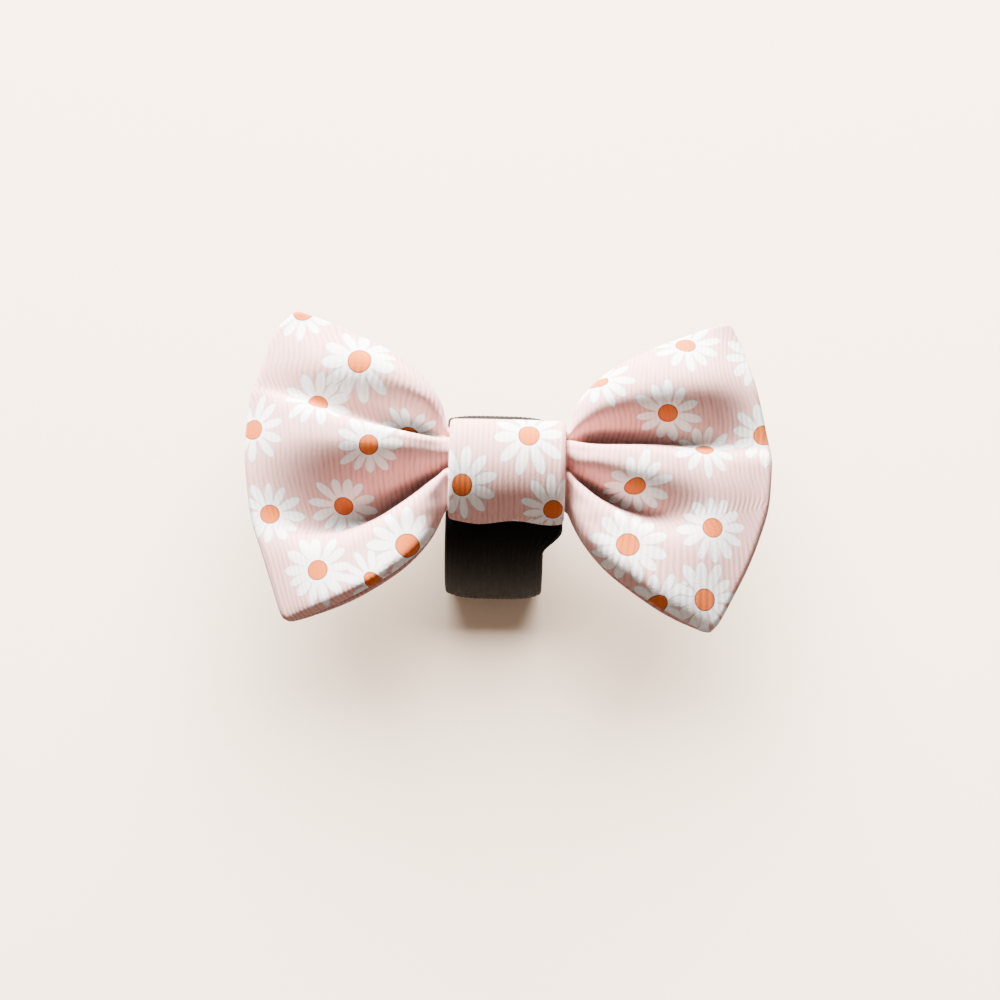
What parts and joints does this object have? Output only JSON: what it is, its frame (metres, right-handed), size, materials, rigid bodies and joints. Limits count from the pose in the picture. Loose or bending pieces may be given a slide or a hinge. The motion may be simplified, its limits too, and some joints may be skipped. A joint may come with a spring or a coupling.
{
  "type": "slip-on pet bow tie",
  "caption": "Fabric bow with a centre band and an elastic loop behind it, which slips over a pet's collar.",
  "frame": {"origin": "on the surface that the part lies on, under the middle of its outline", "axes": "+X along the bow, +Y towards its upper edge, +Z out of its face"},
  "size_m": [0.0999, 0.0597, 0.0403],
  "materials": {
    "bow_fabric": "fine ribbed cotton printed with daisies",
    "band_fabric": "fine ribbed cotton printed with daisies",
    "black_elastic": "flat woven elastic"
  },
  "bodies": {
    "root": {"bow": "bow_fabric", "centre_band": "band_fabric", "elastic_loop": "black_elastic"}
  },
  "joints": []
}
